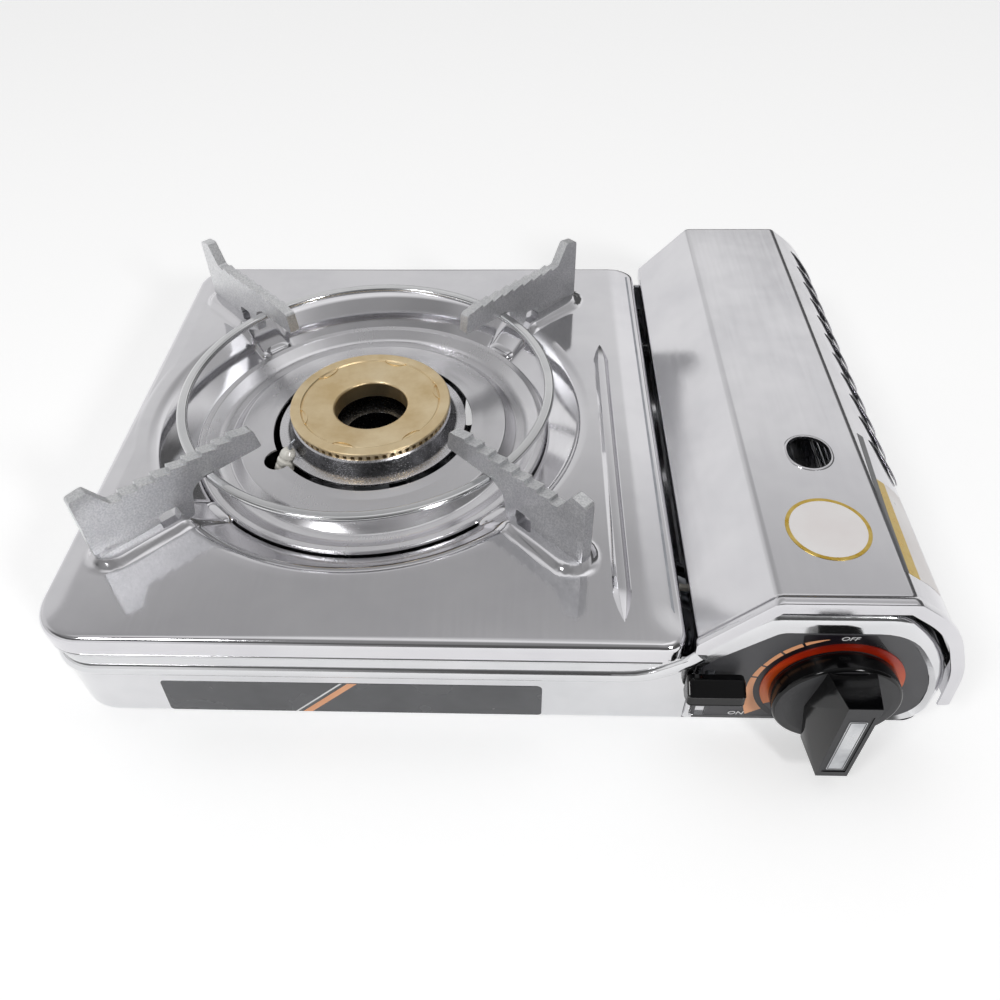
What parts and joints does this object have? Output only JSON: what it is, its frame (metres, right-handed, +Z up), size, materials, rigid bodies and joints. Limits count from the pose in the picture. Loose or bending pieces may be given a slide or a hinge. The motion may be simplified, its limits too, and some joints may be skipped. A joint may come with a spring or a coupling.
{
  "type": "portable gas stove",
  "caption": "Portable cassette stove with a stainless casing, round burner, finned pan support, hinged cartridge lid, control knob and cartridge lock lever.",
  "frame": {"origin": "centre of the bounding box, at the level of the rubber feet's lower faces", "axes": "+X to the user's right, +Y to the back, +Z up; the control knob faces -Y"},
  "size_m": [0.339, 0.2746, 0.0914],
  "materials": {
    "stainless": "bright polished stainless sheet",
    "plain_steel": "zinc-plated sheet steel",
    "dark_steel": "dark heat-blued steel",
    "support_metal": "grey metal, satin",
    "zinc_cast": "die-cast zinc",
    "brass": "turned brass, heat-softened",
    "ceramic": "white glazed ceramic",
    "black_plastic": "moulded black plastic",
    "ivory_plastic": "moulded ivory plastic",
    "orange_plastic": "orange print on a plastic ring",
    "panel_grey": "dark grey coated plate",
    "silver_plate": "satin aluminium plate",
    "rubber": "moulded rubber",
    "lead_sleeve": "silicone sleeve"
  },
  "bodies": {
    "case": {"base_case": "stainless", "top_plate": "stainless", "partition_plate": "plain_steel", "panel_frame": "stainless", "panel_faceplate": "panel_grey", "knob_ring": "orange_plastic", "governor_body": "zinc_cast", "diaphragm_cover": "zinc_cast", "cartridge_socket": "brass", "socket_seal": "rubber", "gas_jet": "brass", "governor_bracket": "plain_steel", "mixing_tube": "plain_steel", "burner_cup": "dark_steel", "burner_head": "brass", "burner_stand": "plain_steel", "piezo_igniter": "black_plastic", "electrode_ceramic": "ceramic", "electrode_tip": "plain_steel", "igniter_lead": "lead_sleeve", "hinge_brackets": "plain_steel", "hinge_rod": "plain_steel", "carriage_rails": "plain_steel", "spring_hanger": "plain_steel", "rubber_feet": "rubber", "cover_screws": "plain_steel", "floor_screws": "plain_steel"},
    "lid": {"cartridge_lid": "stainless", "lid_hinge_ears": "stainless"},
    "knob": {"control_knob": "black_plastic", "knob_plate": "silver_plate", "valve_spindle": "brass", "igniter_cam": "ivory_plastic"},
    "lever": {"lever_cap": "black_plastic", "lock_arm": "plain_steel", "lever_spring": "plain_steel"},
    "carriage": {"cartridge_carriage": "plain_steel", "carriage_pin": "plain_steel"},
    "plunger": {"igniter_plunger": "ivory_plastic"},
    "pan_support": {"fin_front_left": "support_metal", "fin_front_right": "support_metal", "fin_rear_right": "support_metal", "fin_rear_left": "support_metal", "support_ring": "support_metal"},
    "tray": {"drip_tray": "stainless"}
  },
  "joints": [
    {"name": "lid_hinge", "type": "hinge", "parent": "case", "child": "lid", "pos_m": [0.1205, 0.13225, 0.0585], "axis": [-1, 0, 0], "range_deg": [0, 100]},
    {"name": "knob_turn", "type": "hinge", "parent": "case", "child": "knob", "pos_m": [0.1245, -0.11, 0.031], "axis": [0, -1, 0], "range_deg": [0, 125]},
    {"name": "lock_lever", "type": "slide", "parent": "case", "child": "lever", "axis": [0, 0, -1], "range_m": [0, 0.017], "stiffness_N_per_m": 120, "springref_m": -0.008, "deforming": ["lever_spring"]},
    {"name": "carriage_slide", "type": "slide", "parent": "case", "child": "carriage", "axis": [0, -1, 0], "range_m": [0, 0.0082]},
    {"name": "igniter_plunger_slide", "type": "slide", "parent": "case", "child": "plunger", "axis": [-1, 0, 0], "range_m": [0, 0.0042]},
    {"name": "pan_support_lift", "type": "slide", "parent": "case", "child": "pan_support", "axis": [0, 0, 1], "range_m": [0, 0.03]},
    {"name": "drip_tray_lift", "type": "slide", "parent": "case", "child": "tray", "axis": [0, 0, 1], "range_m": [0, 0.016]}
  ],
  "couplings": [
    {"joint": "carriage_slide", "follows": "lock_lever", "ratio": 0.47059},
    {"joint": "igniter_plunger_slide", "follows": "knob_turn", "m_per_rad": 0.0018335}
  ]
}
